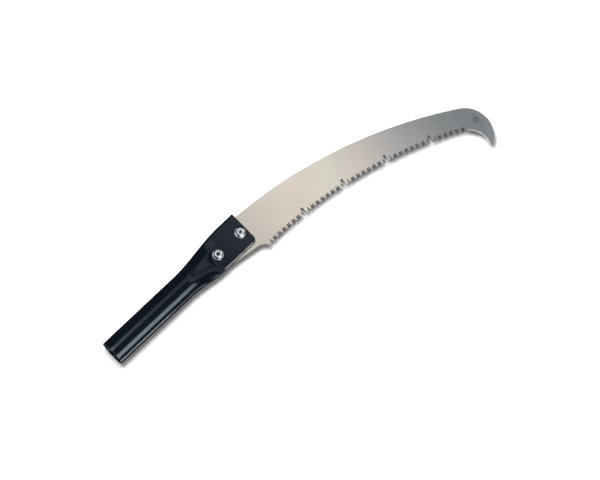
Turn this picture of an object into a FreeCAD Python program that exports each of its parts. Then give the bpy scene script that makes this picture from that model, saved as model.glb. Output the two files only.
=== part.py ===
import FreeCAD, Part
import math
import os
from FreeCAD import Placement, Rotation, Vector
import Sketcher

# Head of a pole saw: a tube socket whose far end is pressed flat into a two-wall jaw, and a curved
# pruning blade held in that jaw by two bolts with washers and lock nuts.
#
# Frame, in millimetres: the origin is the centre of the socket's mouth, on the tube's axis. +X runs
# along the tube towards the blade, +Z is square to the blade's face, and the teeth face -Y.

SIZES = [
    # The socket: a tube, and the jaw that its far end is pressed into.
    ("tube_radius", 19.0),
    ("wall", 1.6),
    ("plain_length", 135.2),
    ("spread_start", 136.0),
    ("spread_end_back", 232.0),
    ("spread_end_front", 198.0),
    ("ramp_start", 150.0),
    ("side_end", 215.0),
    ("shoulder", 1.4),
    ("crease_x", 194.0),
    ("crease_turn_y", -5.0),
    ("crease_turn_run", 15.0),
    ("crease_turn_rise", 12.0),
    ("jaw_end", 260.2),
    ("jaw_back", 28.0),
    ("jaw_front", -25.2),
    ("jaw_corner", 9.0),
    ("corner_shift", 0.25),
    ("jaw_gap", 1.56),
    ("slit_gap", 1.7),
    ("slit_start", 188.0),
    ("slit_depth", 4.0),
    ("through_jaw", 40.0),
    # The blade's outline.
    ("blade_thick", 1.5),
    ("through_blade", 9.0),
    ("back_centre_x", 221.7),
    ("back_centre_y", -720.0),
    ("back_radius", 742.6),
    ("hook_centre_x", 588.1),
    ("hook_radius", 41.0),
    ("tip_x", 612.8),
    ("tip_y", -156.3),
    ("throat_centre_x", 577.2),
    ("throat_radius", 29.0),
    ("tooth_centre_x", 274.8),
    ("tooth_centre_y", -756.3),
    ("tooth_radius", 714.0),
    ("heel_x", 268.6),
    ("heel_centre_x", 252.6),
    ("heel_radius", 17.0),
    ("tang_x", 190.0),
    ("tang_y", -21.6),
    ("tang_corner", 9.0),
    ("tip_inside", 1.6),
    ("tip_outside", 4.0),
    ("throat_bevel", 2.2),
    ("throat_bevel_depth", 0.5),
    ("hanging_hole_x", 615.0),
    ("hanging_hole_y", -114.8),
    ("hanging_hole", 3.3),
    # The teeth. Angles are in degrees about the centre of the tooth line, from +Y towards +X.
    ("section_angle", 5.683),
    ("first_raker", 5.048),
    ("section_pitches", 15.87),
    ("lone_gullet", 1.6),
    ("first_gullet", 2.75),
    ("tooth_depth", 7.4),
    ("gullet_mouth", 5.3),
    ("gullet_root", 0.7),
    ("lone_mouth", 4.6),
    ("tooth_bevel", 40.0),
    ("raker_depth", 12.0),
    ("raker_width", 3.9),
    ("raker_lean", 2.0),
    ("past_the_tips", 3.0),
    # The M8 fasteners.
    ("front_bolt_x", 249.2),
    ("front_bolt_y", 0.0),
    ("rear_bolt_x", 204.5),
    ("rear_bolt_y", -1.2),
    ("bolt_hole", 4.1),
    ("bolt_radius", 3.95),
    ("bolt_length", 16.0),
    ("hex_flats", 13.0),
    ("head_height", 5.3),
    ("washer_radius", 8.0),
    ("washer_hole", 4.2),
    ("washer_thick", 1.6),
    ("nut_hex_height", 5.9),
    ("nut_height", 8.0),
    ("nut_bore", 4.0),
    ("collar_radius", 6.2),
    ("ring_radius", 5.2),
    ("ring_base", 5.5),
    ("ring_height", 1.9),
    ("lip_radius", 4.6),
    ("edge_break", 0.3),
    ("hex_chamfer", 0.7),
    ("hex_waste", 11.5),
    ("tip_dimple", 1.7),
]
SECTION_COUNT = 5       # tooth sections between the heel and the hook
SECTION_POINTS = 96     # points round each section of the pressed tube
STATIONS = 28           # steps from section to section along the pressed part of the tube
CREASE_POWER = 2.4      # how sharply the crease turns along the jaw
CREASE_SOFTNESS = 0.07  # share of the ramp's length over which it eases into the jaw
RAMP_POWER = 0.78       # below 1, the ramp gets steeper towards the crease
SEAM = 0.001            # largest gap between joined faces

doc = FreeCAD.newDocument("pole_saw_head")
sheet = doc.addObject("Spreadsheet::Sheet", "Sizes")
for row, (alias, size) in enumerate(SIZES, start=1):
    sheet.set("A%d" % row, alias)
    sheet.set("B%d" % row, str(size))
    sheet.setAlias("B%d" % row, alias)
doc.recompute()


def size_of(alias):
    """The number in the sheet's cell of this name."""
    return float(sheet.get(alias))


def bind(item, **formulas):
    """Bind properties to the sheet. A double underscore stands for a dot in a property's path."""
    for path, formula in formulas.items():
        item.setExpression(path.replace("__", "."), formula)


# ---------------------------------------------------------------- sketches and bodies

def new_body(name):
    body = doc.addObject("PartDesign::Body", name)
    body.Label = name
    return body


def new_sketch(body, name, plane="XY_Plane"):
    sketch = body.newObject("Sketcher::SketchObject", name)
    support = [item for item in body.Origin.OriginFeatures if item.Role == plane][0]
    sketch.AttachmentSupport = (support, "")
    sketch.MapMode = "FlatFace"
    return sketch


def size_rule(sketch, formula, kind, *where):
    """Add a dimension to a sketch and bind it to a formula. The last item of where is its value now."""
    index = sketch.addConstraint(Sketcher.Constraint(kind, *where))
    sketch.setExpression("Constraints[%d]" % index, formula)


def point_rule(sketch, axis, item, end, value, formula):
    """Set one coordinate of a point, measured from the sketch's origin."""
    size_rule(sketch, formula, "Distance" + axis, -1, 1, item, end, value)


def join_loop(sketch, first, count):
    """Join each line's end to the next one's start, round a closed loop."""
    for step in range(count):
        after = first + (step + 1) % count
        sketch.addConstraint(Sketcher.Constraint("Coincident", first + step, 2, after, 1))


def closed_lines(sketch, corners):
    """Draw a closed loop of straight lines through the corners."""
    first = sketch.GeometryCount
    ends = corners[1:] + corners[:1]
    for start, end in zip(corners, ends):
        sketch.addGeometry(Part.LineSegment(Vector(*start, 0), Vector(*end, 0)))
    join_loop(sketch, first, len(corners))
    return first


def circle(sketch, radius, formula, x=0.0, y=0.0):
    """Draw a circle. Its centre is locked to the origin unless a place is given."""
    item = sketch.addGeometry(Part.Circle(Vector(x, y, 0), Vector(0, 0, 1), radius))
    if x == 0.0 and y == 0.0:
        sketch.addConstraint(Sketcher.Constraint("Coincident", item, 3, -1, 1))
    size_rule(sketch, formula, "Radius", item, radius)
    return item


def edges_near(shape, places, reach=0.6):
    """Names of the edges whose middle lies within reach of one of the places."""
    names = []
    for index, edge in enumerate(shape.Edges, start=1):
        middle = edge.valueAt((edge.FirstParameter + edge.LastParameter) / 2)
        if any(middle.distanceToPoint(place) < reach for place in places):
            names.append("Edge%d" % index)
    if len(names) != len(places):
        raise RuntimeError("wanted %d edges, found %s" % (len(places), names))
    return names


# ---------------------------------------------------------------- blade

def arc(centre, radius, start, end):
    """An arc that runs anticlockwise between two points on it."""
    first = math.atan2(start.y - centre.y, start.x - centre.x)
    last = math.atan2(end.y - centre.y, end.x - centre.x)
    if last < first:
        last += 2 * math.pi
    return Part.ArcOfCircle(Part.Circle(centre, Vector(0, 0, 1), radius), first, last)


def on_circle(centre, radius, x=None, y=None):
    """The point of a circle with the given x, on its upper half, or with the given y, on its right."""
    if x is not None:
        return Vector(x, centre.y + math.sqrt(radius ** 2 - (x - centre.x) ** 2), 0)
    return Vector(centre.x + math.sqrt(radius ** 2 - (y - centre.y) ** 2), y, 0)


def along(centre, towards, distance):
    return centre + (towards - centre).normalize() * distance


def touch_point(centre, radius, outside):
    """Where a line from a point outside a circle touches the circle, on its upper side."""
    away = outside - centre
    angle = math.atan2(away.y, away.x) - math.acos(radius / away.Length)
    return centre + Vector(math.cos(angle), math.sin(angle), 0) * radius


def draw_blade_outline(sketch):
    back = Vector(size_of("back_centre_x"), size_of("back_centre_y"), 0)
    back_radius = size_of("back_radius")
    hook_radius = size_of("hook_radius")
    hook = on_circle(back, back_radius - hook_radius, x=size_of("hook_centre_x"))
    teeth = Vector(size_of("tooth_centre_x"), size_of("tooth_centre_y"), 0)
    tooth_radius = size_of("tooth_radius")
    throat_radius = size_of("throat_radius")
    throat = on_circle(teeth, tooth_radius - throat_radius, x=size_of("throat_centre_x"))
    heel_radius = size_of("heel_radius")

    tang_top = on_circle(back, back_radius, x=size_of("tang_x"))
    tang_low = Vector(size_of("tang_x"), size_of("tang_y"), 0)
    hook_start = along(back, hook, back_radius)
    tip_x = size_of("tip_x")
    tip_out = Vector(tip_x, hook.y - math.sqrt(hook_radius ** 2 - (tip_x - hook.x) ** 2), 0)
    tip_in = on_circle(throat, throat_radius, y=size_of("tip_y"))
    throat_start = along(teeth, throat, tooth_radius)
    heel_point = on_circle(teeth, tooth_radius, x=size_of("heel_x"))
    heel_x = size_of("heel_centre_x")
    heel = Vector(heel_x, heel_point.y - math.sqrt(heel_radius ** 2 - (heel_x - heel_point.x) ** 2), 0)
    heel_start = touch_point(heel, heel_radius, tang_low)

    sketch.addGeometry(arc(back, back_radius, hook_start, tang_top))            # 0 back edge
    sketch.addGeometry(arc(hook, hook_radius, tip_out, hook_start))             # 1 outside of the hook
    sketch.addGeometry(Part.LineSegment(tip_in, tip_out))                       # 2 end of the hook
    sketch.addGeometry(arc(throat, throat_radius, tip_in, throat_start))        # 3 inside of the hook
    sketch.addGeometry(arc(teeth, tooth_radius, throat_start, heel_point))      # 4 tooth line
    sketch.addGeometry(arc(heel, heel_radius, heel_point, heel_start))          # 5 heel
    sketch.addGeometry(Part.LineSegment(heel_start, tang_low))                  # 6 under the tang
    sketch.addGeometry(Part.LineSegment(tang_low, tang_top))                    # 7 end of the tang

    for one, one_end, other, other_end in ((0, 1, 1, 2), (3, 2, 4, 1), (5, 2, 6, 1)):
        sketch.addConstraint(Sketcher.Constraint("Tangent", one, one_end, other, other_end))
    corners = ((1, 1, 2, 2), (2, 1, 3, 1), (4, 2, 5, 1), (6, 2, 7, 1), (7, 2, 0, 2))
    for one, one_end, other, other_end in corners:
        sketch.addConstraint(Sketcher.Constraint("Coincident", one, one_end, other, other_end))
    sketch.addConstraint(Sketcher.Constraint("Vertical", 7))

    size_rule(sketch, "Sizes.back_radius", "Radius", 0, back_radius)
    size_rule(sketch, "Sizes.hook_radius", "Radius", 1, hook_radius)
    size_rule(sketch, "Sizes.throat_radius", "Radius", 3, throat_radius)
    size_rule(sketch, "Sizes.tooth_radius", "Radius", 4, tooth_radius)
    size_rule(sketch, "Sizes.heel_radius", "Radius", 5, heel_radius)
    point_rule(sketch, "X", 0, 3, back.x, "Sizes.back_centre_x")
    point_rule(sketch, "Y", 0, 3, back.y, "Sizes.back_centre_y")
    point_rule(sketch, "X", 4, 3, teeth.x, "Sizes.tooth_centre_x")
    point_rule(sketch, "Y", 4, 3, teeth.y, "Sizes.tooth_centre_y")
    point_rule(sketch, "X", 1, 3, hook.x, "Sizes.hook_centre_x")
    point_rule(sketch, "X", 3, 3, throat.x, "Sizes.throat_centre_x")
    point_rule(sketch, "X", 1, 1, tip_x, "Sizes.tip_x")
    point_rule(sketch, "Y", 3, 1, tip_in.y, "Sizes.tip_y")
    point_rule(sketch, "X", 5, 1, heel_point.x, "Sizes.heel_x")
    point_rule(sketch, "X", 5, 3, heel.x, "Sizes.heel_centre_x")
    point_rule(sketch, "X", 7, 1, tang_low.x, "Sizes.tang_x")
    point_rule(sketch, "Y", 7, 1, tang_low.y, "Sizes.tang_y")


def tooth_sketch(body, name, angle):
    """A sketch at the centre of the tooth line, turned so that its +Y points at the given angle."""
    sketch = new_sketch(body, name)
    sketch.AttachmentOffset = Placement(Vector(), Rotation(Vector(0, 0, 1), -1))
    bind(
        sketch,
        AttachmentOffset__Base__x="Sizes.tooth_centre_x",
        AttachmentOffset__Base__y="Sizes.tooth_centre_y",
        AttachmentOffset__Rotation__Angle="-(%s)" % angle,
    )
    return sketch


def draw_gullet(sketch, mouth_alias):
    """A notch with straight sides and a narrow flat root, open past the tips of the teeth."""
    tips = size_of("tooth_radius")
    outside = tips - size_of("past_the_tips")
    root = tips + size_of("tooth_depth")
    mouth = size_of(mouth_alias) / 2
    narrow = size_of("gullet_root") / 2
    flare = (mouth - narrow) / size_of("tooth_depth") * size_of("past_the_tips")
    closed_lines(sketch, [(-mouth - flare, outside), (mouth + flare, outside),
                          (narrow, root), (-narrow, root)])
    sketch.addConstraint(Sketcher.Constraint("Symmetric", 0, 1, 0, 2, -2))
    sketch.addConstraint(Sketcher.Constraint("Symmetric", 2, 1, 2, 2, -2))
    point_rule(sketch, "Y", 0, 1, outside, "Sizes.tooth_radius - Sizes.past_the_tips")
    point_rule(sketch, "Y", 2, 1, root, "Sizes.tooth_radius + Sizes.tooth_depth")
    point_rule(sketch, "X", 2, 1, narrow, "Sizes.gullet_root / 2")
    slope = "(Sizes.%s - Sizes.gullet_root) / 2 / Sizes.tooth_depth" % mouth_alias
    point_rule(sketch, "X", 0, 2, mouth + flare,
               "Sizes.%s / 2 + Sizes.past_the_tips * %s" % (mouth_alias, slope))


def draw_raker(sketch):
    """A deep slot with a round root, leaning towards the socket."""
    tips = size_of("tooth_radius")
    half = size_of("raker_width") / 2
    lean = math.tan(math.radians(size_of("raker_lean")))
    low = tips - size_of("past_the_tips")
    high = tips + size_of("raker_depth") - half
    shift = lean * (high - low)
    sketch.addGeometry(Part.LineSegment(Vector(-half, low, 0), Vector(half, low, 0)))
    sketch.addGeometry(Part.LineSegment(Vector(half, low, 0), Vector(half - shift, high, 0)))
    root = Part.Circle(Vector(-shift, high, 0), Vector(0, 0, 1), half)
    sketch.addGeometry(Part.ArcOfCircle(root, math.radians(size_of("raker_lean")),
                                        math.pi + math.radians(size_of("raker_lean"))))
    sketch.addGeometry(Part.LineSegment(Vector(-half - shift, high, 0), Vector(-half, low, 0)))
    sketch.addConstraint(Sketcher.Constraint("Coincident", 0, 2, 1, 1))
    sketch.addConstraint(Sketcher.Constraint("Coincident", 3, 2, 0, 1))
    sketch.addConstraint(Sketcher.Constraint("Tangent", 1, 2, 2, 1))
    sketch.addConstraint(Sketcher.Constraint("Tangent", 2, 2, 3, 1))
    sketch.addConstraint(Sketcher.Constraint("Symmetric", 0, 1, 0, 2, -2))
    point_rule(sketch, "Y", 0, 1, low, "Sizes.tooth_radius - Sizes.past_the_tips")
    size_rule(sketch, "Sizes.raker_width / 2", "Radius", 2, half)
    point_rule(sketch, "Y", 2, 3, high, "Sizes.tooth_radius + Sizes.raker_depth - Sizes.raker_width / 2")
    rise = "(Sizes.past_the_tips + Sizes.raker_depth - Sizes.raker_width / 2)"
    point_rule(sketch, "X", 2, 3, -shift, "-tan(Sizes.raker_lean * 1 deg) * %s" % rise)


def cut_through(body, sketch, name, angle=None, bevel_side=0):
    """Cut a sketch through the blade. A bevelled cut slants towards the next tooth or the last one."""
    pocket = body.newObject("PartDesign::Pocket", name)
    pocket.Profile = sketch
    pocket.SideType = "Symmetric"
    bind(pocket, Length="Sizes.through_blade")
    if bevel_side:
        sideways = "%d * sin(Sizes.tooth_bevel * 1 deg)" % bevel_side
        pocket.UseCustomVector = True
        pocket.Direction = Vector(0.5, 0, 0.5)
        bind(
            pocket,
            Direction__x="%s * cos((%s) * 1 deg)" % (sideways, angle),
            Direction__y="-(%s * sin((%s) * 1 deg))" % (sideways, angle),
            Direction__z="cos(Sizes.tooth_bevel * 1 deg)",
        )
    return pocket


def turn_pattern(body, name, sketch, count, step):
    """A polar pattern about the centre of the tooth line, running towards the hook."""
    pattern = body.newObject("PartDesign::PolarPattern", name)
    pattern.Axis = (sketch, ["N_Axis"])
    pattern.Reversed = True
    pattern.Occurrences = count
    bind(pattern, Angle="(%s) * %d" % (step, count - 1))
    return pattern


def repeat(body, name, cut, sketch, *runs):
    """Repeat a cut. Each run is a count and a step, and the runs multiply."""
    if len(runs) == 1:
        pattern = turn_pattern(body, name, sketch, *runs[0])
        pattern.Originals = [cut]
    else:
        pattern = body.newObject("PartDesign::MultiTransform", name)
        pattern.Originals = [cut]
        pattern.Transformations = [
            turn_pattern(body, "%s_run_%d" % (name, number), sketch, *run)
            for number, run in enumerate(runs, start=1)
        ]
    body.Tip = pattern
    return pattern


def check_removed(before, after, what):
    if after.Shape.Volume > before.Shape.Volume - 1.0:
        raise RuntimeError("%s removed nothing" % what)


def make_blade():
    body = new_body("blade")
    outline = new_sketch(body, "blade_outline")
    draw_blade_outline(outline)
    plate = body.newObject("PartDesign::Pad", "blade_plate")
    plate.Profile = outline
    plate.SideType = "Symmetric"
    bind(plate, Length="Sizes.blade_thick")
    doc.recompute()

    half = size_of("blade_thick") / 2
    throat = outline.Geometry[3]
    middle = throat.value((throat.FirstParameter + throat.LastParameter) / 2)
    bevel = body.newObject("PartDesign::Chamfer", "throat_bevel")
    bevel.Base = (plate, edges_near(plate.Shape, [middle + Vector(0, 0, half)]))
    bevel.ChamferType = "Two distances"
    bind(bevel, Size="Sizes.throat_bevel_depth", Size2="Sizes.throat_bevel")
    doc.recompute()
    check_removed(plate, bevel, "the bevel")

    tang = [outline.Geometry[7].StartPoint, outline.Geometry[7].EndPoint]
    corners = body.newObject("PartDesign::Fillet", "tang_corners")
    corners.Base = (bevel, edges_near(bevel.Shape, tang))
    bind(corners, Radius="Sizes.tang_corner")
    doc.recompute()
    tip = outline.Geometry[2]
    rounded = corners
    for side, end in (("inside", tip.StartPoint), ("outside", tip.EndPoint)):
        rounding = body.newObject("PartDesign::Fillet", "tip_" + side)
        rounding.Base = (rounded, edges_near(rounded.Shape, [end]))
        bind(rounding, Radius="Sizes.tip_" + side)
        doc.recompute()
        rounded = rounding

    holes = new_sketch(body, "blade_holes")
    places = (("front_bolt", "bolt_hole"), ("rear_bolt", "bolt_hole"), ("hanging_hole", "hanging_hole"))
    for place, radius in places:
        x, y = size_of(place + "_x"), size_of(place + "_y")
        item = circle(holes, size_of(radius), "Sizes." + radius, x, y)
        point_rule(holes, "X", item, 3, x, "Sizes.%s_x" % place)
        point_rule(holes, "Y", item, 3, y, "Sizes.%s_y" % place)
    drilled = cut_through(body, holes, "blade_drilled")
    doc.recompute()
    check_removed(rounded, drilled, "the drilling")

    # One section of teeth runs from one raker to the next. A tooth's own two sides are ground on the
    # same face, the upper face on one tooth and the lower face on the next, so gullets slant in turn.
    pitch = "Sizes.section_angle / Sizes.section_pitches"
    start = "Sizes.first_raker - Sizes.section_angle"
    last_start = "%s + Sizes.section_angle * %d" % (start, SECTION_COUNT - 1)
    section_run = (SECTION_COUNT - 1, "Sizes.section_angle")
    pair_step = "2 * " + pitch
    cuts = (
        ("ahead", "%s + %s * Sizes.first_gullet" % (start, pitch), 1, (7, pair_step), section_run),
        ("behind", "%s + %s * (Sizes.first_gullet + 1)" % (start, pitch), -1, (6, pair_step), section_run),
        ("last_ahead", "%s + %s * Sizes.first_gullet" % (last_start, pitch), 1, (5, pair_step)),
        ("last_behind", "%s + %s * (Sizes.first_gullet + 1)" % (last_start, pitch), -1, (5, pair_step)),
    )
    done = drilled
    for name, angle, side, *runs in cuts:
        sketch = tooth_sketch(body, "gullet_" + name, angle)
        draw_gullet(sketch, "gullet_mouth")
        cut = cut_through(body, sketch, "cut_" + name, angle, side)
        doc.recompute()
        pattern = repeat(body, "teeth_" + name, cut, sketch, *runs)
        doc.recompute()
        check_removed(done, cut, name)
        check_removed(cut, pattern, name)
        done = pattern

    lone = tooth_sketch(body, "gullet_lone", "%s + %s * Sizes.lone_gullet" % (start, pitch))
    draw_gullet(lone, "lone_mouth")
    raker = tooth_sketch(body, "raker", "Sizes.first_raker")
    draw_raker(raker)
    for name, sketch, count in (("lone", lone, SECTION_COUNT), ("raker", raker, SECTION_COUNT - 1)):
        cut = cut_through(body, sketch, "cut_" + name)
        doc.recompute()
        pattern = repeat(body, "all_" + name, cut, sketch, (count, "Sizes.section_angle"))
        doc.recompute()
        check_removed(done, cut, name)
        check_removed(cut, pattern, name)
        done = pattern
    return body


# ---------------------------------------------------------------- socket

def smooth(start, end, x):
    """Rise smoothly from 0 at the start to 1 at the end."""
    part = min(1.0, max(0.0, (x - start) / (end - start)))
    return part * part * (3 - 2 * part)


def soft_minimum(first, second, softness):
    """The smaller of two numbers, with the change from one to the other rounded off."""
    if softness <= 0.0:
        return min(first, second)
    near = max(0.0, softness - abs(first - second)) / softness
    return min(first, second) - near * near * softness / 4


def flat_point(share, half, inset):
    """Where a share of the upper half's length, from the back fold to the front one, lies in the jaw."""
    back = size_of("jaw_back") - inset
    front = size_of("jaw_front") + inset
    bend = math.pi * half / 2
    run = share * (back - front - 2 * half + 2 * bend)
    if run < bend:
        return back - half + half * math.cos(run / half), half * math.sin(run / half)
    if run < bend + back - front - 2 * half:
        return back - half - (run - bend), half
    turn = (run - bend - (back - front - 2 * half)) / half
    return front + half - half * math.sin(turn), half * math.cos(turn)


def ramp_height(flat_y, x, half, radius):
    """The height that the press leaves: a ramp down to the crease, and the flat jaw beyond it.

    The crease lies farther from the mouth towards the closed fold at the back.
    """
    lag = max(0.0, (flat_y - size_of("crease_turn_y")) / size_of("crease_turn_run"))
    crease = size_of("crease_x") + size_of("crease_turn_rise") * lag ** CREASE_POWER
    left = max(0.0, (crease - x) / (crease - size_of("ramp_start")))
    eased = left * left / (2 * CREASE_SOFTNESS) if left < CREASE_SOFTNESS else left - CREASE_SOFTNESS / 2
    return half + (radius - half) * (eased / (1 - CREASE_SOFTNESS / 2)) ** RAMP_POWER


def pressed_point(share, x, inset):
    """A point on the pressed tube's skin, or on its bore when inset is the wall.

    share runs from 0 to 1 round the tube, from +Y over +Z. The round tube's point spreads sideways
    to the place that it takes in the flat jaw, and lies no higher than the pressed ramp.
    """
    radius = size_of("tube_radius") - inset
    half = size_of("jaw_gap") / 2 + size_of("wall") - inset
    turn = 2 * math.pi * share
    side = 1.0 if share <= 0.5 else -1.0
    flat_y, flat_z = flat_point(2 * min(share, 1.0 - share), half, inset)

    back_end, front_end = size_of("spread_end_back"), size_of("spread_end_front")
    spread_end = front_end + (back_end - front_end) * (1 + math.cos(turn)) / 2
    spread = smooth(size_of("spread_start"), spread_end, x)
    sinking = smooth(size_of("ramp_start"), size_of("side_end"), x)
    dome = abs(radius * math.sin(turn)) * (1 - sinking) + flat_z * sinking
    ramp = ramp_height(flat_y, x, half, radius)
    softness = size_of("shoulder") * min(1.0, (ramp - half) / 2)
    round_y = radius * math.cos(turn)
    return Vector(x, round_y + (flat_y - round_y) * spread, side * soft_minimum(dome, ramp, softness))


def section(x, inset):
    """One section of the pressed tube, as a closed curve through evenly numbered points."""
    curve = Part.BSplineCurve()
    curve.interpolate(
        Points=[pressed_point(step / SECTION_POINTS, x, inset) for step in range(SECTION_POINTS)],
        Parameters=[step / SECTION_POINTS for step in range(SECTION_POINTS + 1)],
        PeriodicFlag=True,
    )
    return Part.Wire(curve.toShape())


def tube_faces(inset):
    """The skin of the whole tube, or its bore: a plain cylinder, and the part that is pressed."""
    start = size_of("plain_length")
    spacing = (size_of("jaw_end") - start) / STATIONS
    pressed = Part.makeLoft([section(start + spacing * step, inset) for step in range(STATIONS + 1)])
    plain = Part.makeCylinder(size_of("tube_radius") - inset, start)
    plain.Placement = Placement(Vector(), Rotation(Vector(1, 1, 1), 120))
    side = [face for face in plain.Faces if isinstance(face.Surface, Part.Cylinder)]
    return side + pressed.Faces


def pressed_tube():
    """The pressed tube as a hollow solid: its skin, its bore and the flat rings at its two ends."""
    skin = tube_faces(0.0)
    bore = tube_faces(size_of("wall"))
    rings = []
    for x in (0.0, size_of("jaw_end")):
        loops = []
        for faces in (skin, bore):
            ends = [edge for face in faces for edge in face.Edges
                    if edge.BoundBox.XLength < SEAM and abs(edge.BoundBox.XMin - x) < SEAM]
            loops += [Part.Wire(edge) for edge in ends]
        rings.append(Part.Face(loops))
    shell = Part.makeShell(skin + bore + rings)
    shell.sewShape()
    solid = Part.makeSolid(shell)
    solid.fix(SEAM, SEAM, SEAM)
    return solid


def cylinder_tool(name, radius, x, y):
    """An upright cylinder through the jaw, to cut with."""
    tool = doc.addObject("Part::Cylinder", name)
    bind(tool, Radius=radius, Height="Sizes.through_jaw", Placement__Base__x=x, Placement__Base__y=y,
         Placement__Base__z="-Sizes.through_jaw / 2")
    return tool


def make_socket():
    tube = doc.addObject("Part::Feature", "pressed_tube")
    tube.Shape = pressed_tube()

    slit = doc.addObject("Part::Box", "blade_slit")
    bind(slit, Length="Sizes.jaw_end", Width="Sizes.through_jaw", Height="Sizes.slit_gap",
         Placement__Base__x="Sizes.slit_start",
         Placement__Base__y="Sizes.jaw_front + Sizes.slit_depth - Sizes.through_jaw",
         Placement__Base__z="-Sizes.slit_gap / 2")
    centre_x = "Sizes.jaw_end - Sizes.jaw_corner + Sizes.corner_shift"
    centre_y = "Sizes.jaw_front + Sizes.jaw_corner - Sizes.corner_shift"
    block = doc.addObject("Part::Box", "corner_block")
    bind(block, Length="Sizes.jaw_corner", Width="Sizes.jaw_corner", Height="Sizes.through_jaw / 2",
         Placement__Base__x=centre_x, Placement__Base__y=centre_y + " - Sizes.jaw_corner",
         Placement__Base__z="-Sizes.through_jaw / 4")
    round_part = cylinder_tool("corner_round", "Sizes.jaw_corner", centre_x, centre_y)
    corner = doc.addObject("Part::Cut", "corner_tool")
    corner.Base = block
    corner.Tool = round_part
    holes = [cylinder_tool(end + "_hole", "Sizes.bolt_hole", "Sizes.%s_bolt_x" % end, "Sizes.%s_bolt_y" % end)
             for end in ("front", "rear")]
    body = tube
    for number, tool in enumerate([slit, corner] + holes, start=1):
        cut = doc.addObject("Part::Cut", "socket_cut_%d" % number)
        cut.Base = body
        cut.Tool = tool
        doc.recompute()
        if abs(cut.Shape.Area - body.Shape.Area) < 1.0:
            raise RuntimeError("%s cut nothing" % tool.Name)
        body = cut
    body.Label = "socket"
    return body


# ---------------------------------------------------------------- fasteners

def place(body, end, base):
    """Stand a body on a bolt's axis, with its origin at the given height."""
    bind(body, Placement__Base__x="Sizes.%s_bolt_x" % end, Placement__Base__y="Sizes.%s_bolt_y" % end,
         Placement__Base__z=base)


def turned(body, name, profile):
    """Turn a profile about Z. Each corner of the profile is a pair of formulas: radius, height."""
    sketch = new_sketch(body, name + "_profile", "XZ_Plane")
    corners = [tuple(float(sheet.evalExpression(formula)) for formula in corner) for corner in profile]
    closed_lines(sketch, corners)
    for index, ((x, y), (radius, height)) in enumerate(zip(corners, profile)):
        point_rule(sketch, "X", index, 1, x, radius)
        point_rule(sketch, "Y", index, 1, y, height)
    solid = body.newObject("PartDesign::Revolution", name)
    solid.Profile = sketch
    solid.ReferenceAxis = (sketch, ["V_Axis"])
    solid.Angle = 360
    return solid


def hexagon_sides(body, name, base, height):
    """Cut six flats into a turned blank, from the given height upwards."""
    sketch = new_sketch(body, name + "_flats")
    bind(sketch, AttachmentOffset__Base__z=base)
    flats = size_of("hex_flats")
    corner = flats / math.sqrt(3)
    corners = [(corner * math.cos(math.radians(60 * step)), corner * math.sin(math.radians(60 * step)))
               for step in range(6)]
    closed_lines(sketch, corners)
    rim = sketch.addGeometry(Part.Circle(Vector(), Vector(0, 0, 1), corner), True)
    sketch.addConstraint(Sketcher.Constraint("Coincident", rim, 3, -1, 1))
    for side in range(6):
        sketch.addConstraint(Sketcher.Constraint("PointOnObject", side, 1, rim))
        if side:
            sketch.addConstraint(Sketcher.Constraint("Equal", 0, side))
    sketch.addConstraint(Sketcher.Constraint("PointOnObject", 0, 1, -1))
    size_rule(sketch, "Sizes.hex_flats / sqrt(3)", "Radius", rim, corner)
    circle(sketch, size_of("hex_waste"), "Sizes.hex_waste")
    flats_cut = body.newObject("PartDesign::Pocket", name)
    flats_cut.Profile = sketch
    flats_cut.Reversed = True
    bind(flats_cut, Length=height)
    return flats_cut


def make_washer(name, end, base):
    """A flat washer with broken edges."""
    body = new_body(name)
    turned(body, name + "_turned", [
        ("Sizes.washer_hole", "0"),
        ("Sizes.washer_radius - Sizes.edge_break", "0"),
        ("Sizes.washer_radius", "Sizes.edge_break"),
        ("Sizes.washer_radius", "Sizes.washer_thick - Sizes.edge_break"),
        ("Sizes.washer_radius - Sizes.edge_break", "Sizes.washer_thick"),
        ("Sizes.washer_hole", "Sizes.washer_thick"),
    ])
    place(body, end, base)
    return body


def make_bolt(name, end, base):
    """A hexagon bolt. Its origin is under the head, and its tip has a small forged dimple."""
    body = new_body(name)
    corner = "Sizes.hex_flats / sqrt(3)"
    turned(body, name + "_turned", [
        ("0", "-Sizes.head_height"),
        ("Sizes.hex_flats / 2 - Sizes.edge_break", "-Sizes.head_height"),
        (corner, "-Sizes.head_height + Sizes.hex_chamfer"),
        (corner, "-Sizes.edge_break"),
        ("Sizes.hex_flats / 2", "0"),
        ("Sizes.bolt_radius", "0"),
        ("Sizes.bolt_radius", "Sizes.bolt_length - Sizes.hex_chamfer"),
        ("Sizes.bolt_radius - Sizes.hex_chamfer", "Sizes.bolt_length"),
        ("Sizes.tip_dimple", "Sizes.bolt_length"),
        ("0", "Sizes.bolt_length - Sizes.tip_dimple / 2"),
    ])
    hexagon_sides(body, name + "_head", "-Sizes.head_height", "Sizes.head_height")
    place(body, end, base)
    return body


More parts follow.
